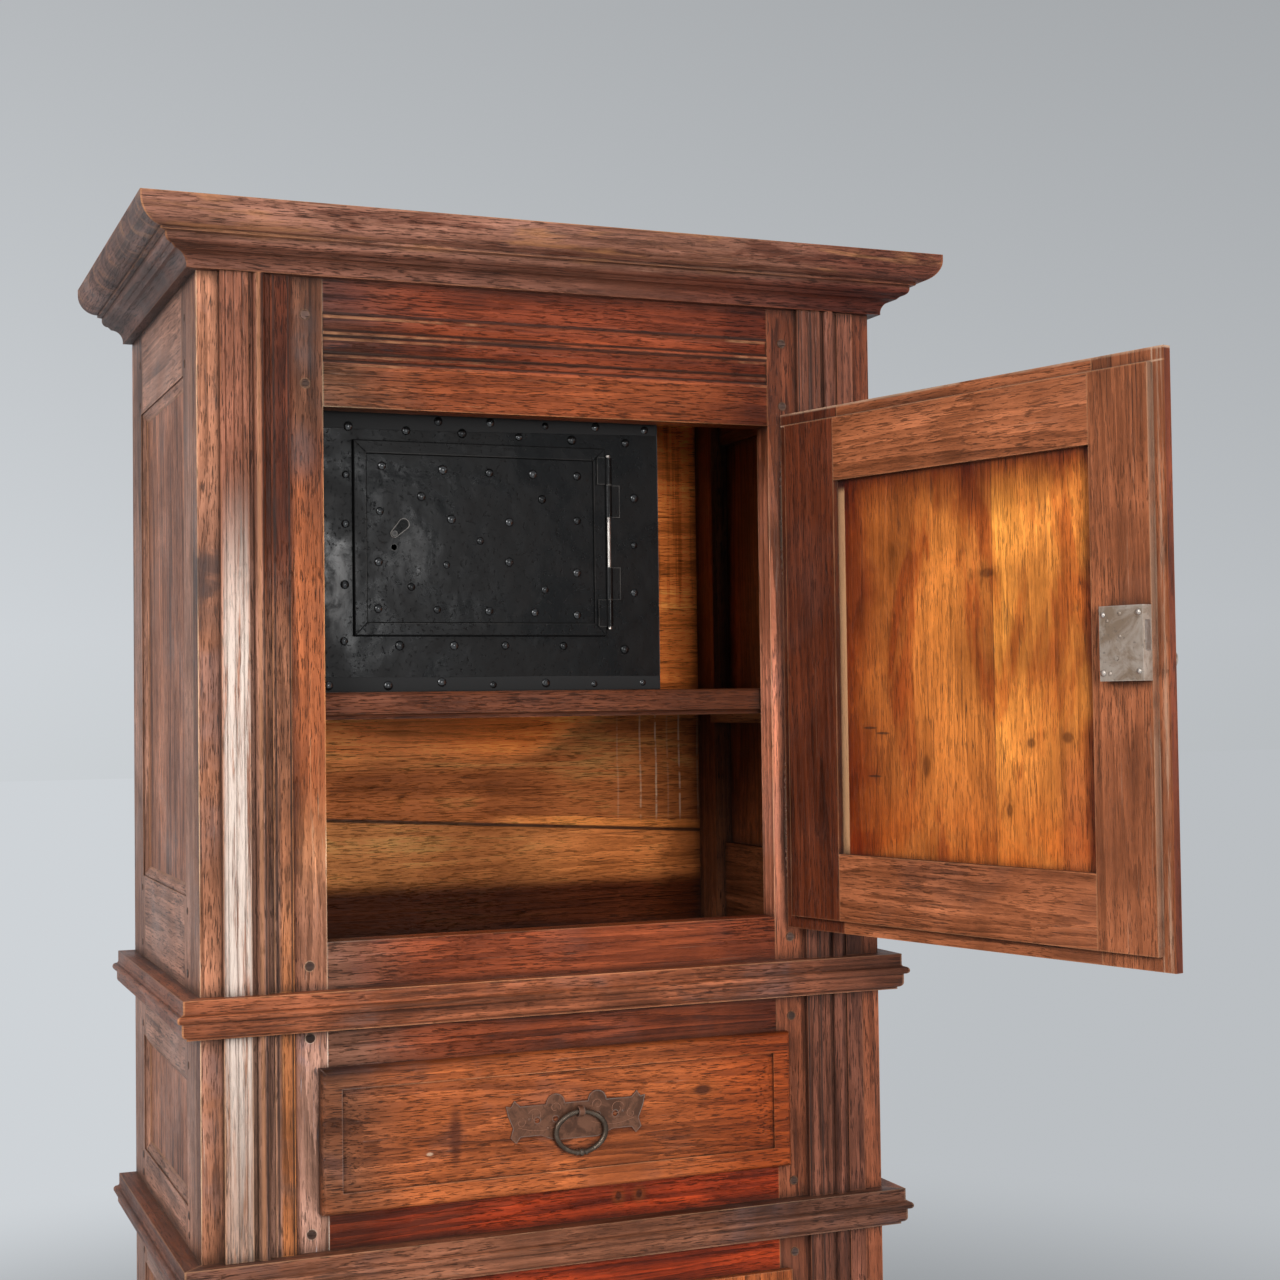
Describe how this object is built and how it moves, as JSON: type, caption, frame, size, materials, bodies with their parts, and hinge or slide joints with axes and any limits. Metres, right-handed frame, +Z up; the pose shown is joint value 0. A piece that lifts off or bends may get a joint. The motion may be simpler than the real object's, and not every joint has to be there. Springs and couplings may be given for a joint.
{
  "type": "court cupboard",
  "caption": "Tall oak cupboard with a moulded cornice, an upper door, a drawer and a lower door, and a riveted iron strong box on its inner shelf.",
  "frame": {"origin": "on the floor, midway between the four feet, at the middle of the carcass", "axes": "+Z up, -Y out of the front, +X to the right of someone facing the front"},
  "size_m": [1.1289, 1.2139, 2.053],
  "materials": {
    "oak": "waxed, worn",
    "inner_oak": "dry, scratched",
    "black_iron": "black paint",
    "worn_iron": "worn",
    "bright_pin": "rubbed bright"
  },
  "bodies": {
    "root": {"front_stile_left": "oak", "front_stile_right": "oak", "frieze_rail": "oak", "waist_rail": "oak", "drawer_rail": "oak", "base_rail": "oak", "pilaster_mouldings": "oak", "cornice_front": "oak", "cornice_left": "oak", "cornice_right": "oak", "top_board": "oak", "waist_moulding_front": "oak", "waist_moulding_left": "oak", "waist_moulding_right": "oak", "drawer_moulding_front": "oak", "drawer_moulding_left": "oak", "drawer_moulding_right": "oak", "base_moulding": "oak", "side_stile_left": "oak", "side_stile_right": "oak", "back_post_left": "oak", "back_post_right": "oak", "side_rails_left": "oak", "side_rails_right": "oak", "side_panels_left": "oak", "side_panels_right": "oak", "back_planks": "inner_oak", "shelf": "inner_oak", "cleats": "inner_oak", "compartment_floor": "inner_oak", "bottom_floor": "inner_oak", "drawer_runners": "inner_oak", "strongbox_case": "black_iron", "strongbox_hinge_pin": "bright_pin", "post_hinges": "worn_iron", "frame_pegs": "oak"},
    "upper_door": {"upper_door_hinge_stile": "oak", "upper_door_lock_stile": "oak", "upper_door_top_rail": "oak", "upper_door_bottom_rail": "oak", "upper_door_panel": "inner_oak", "upper_door_hinges": "worn_iron", "upper_lock_case": "worn_iron"},
    "upper_bolt": {"upper_lock_bolt": "worn_iron"},
    "upper_key": {"upper_key": "worn_iron"},
    "lower_door": {"lower_door_hinge_stile": "oak", "lower_door_lock_stile": "oak", "lower_door_rails": "oak", "lower_door_panel": "oak", "lower_door_hinges": "worn_iron", "lower_lock_case": "worn_iron"},
    "lower_bolt": {"lower_lock_bolt": "worn_iron"},
    "drawer": {"drawer_front": "oak", "drawer_sides": "inner_oak", "drawer_back": "inner_oak", "drawer_bottom": "inner_oak", "drawer_plate": "worn_iron"},
    "ring": {"drawer_ring": "worn_iron"},
    "strongbox_door": {"strongbox_door": "black_iron"},
    "keyhole_cover": {"strongbox_keyhole_cover": "black_iron"}
  },
  "joints": [
    {"name": "upper_door_swing", "type": "hinge", "parent": "root", "child": "upper_door", "pos_m": [0.337, -0.2875, 1.46], "axis": [0, 0, 1], "range_deg": [-105, 45]},
    {"name": "lower_door_swing", "type": "hinge", "parent": "root", "child": "lower_door", "pos_m": [0.337, -0.2875, 0.395], "axis": [0, 0, 1], "range_deg": [0, 140]},
    {"name": "drawer_slide", "type": "slide", "parent": "root", "child": "drawer", "axis": [0, -1, 0], "range_m": [0, 0.4]},
    {"name": "ring_lift", "type": "hinge", "parent": "drawer", "child": "ring", "pos_m": [0.016, -0.3033, 0.8805], "axis": [-1, 0, 0], "range_deg": [0, 80]},
    {"name": "strongbox_door_swing", "type": "hinge", "parent": "root", "child": "strongbox_door", "pos_m": [0.097, -0.224, 1.645], "axis": [0, 0, 1], "range_deg": [0, 100]},
    {"name": "keyhole_cover_swing", "type": "hinge", "parent": "strongbox_door", "child": "keyhole_cover", "pos_m": [-0.21, -0.224, 1.651], "axis": [0, 1, 0], "range_deg": [-30, 135]},
    {"name": "upper_key_turn", "type": "hinge", "parent": "upper_door", "child": "upper_key", "pos_m": [0.49591, -0.88058, 1.465], "axis": [-0.9659, -0.2588, 0], "range_deg": [0, 150]},
    {"name": "upper_bolt_slide", "type": "slide", "parent": "upper_door", "child": "upper_bolt", "axis": [0.2588, -0.9659, 0], "range_m": [0, 0.01]},
    {"name": "lower_bolt_slide", "type": "slide", "parent": "lower_door", "child": "lower_bolt", "axis": [-1, 0, 0], "range_m": [0, 0.01]}
  ],
  "couplings": [
    {"joint": "upper_bolt_slide", "follows": "upper_key_turn", "m_per_rad": 0.0036}
  ]
}
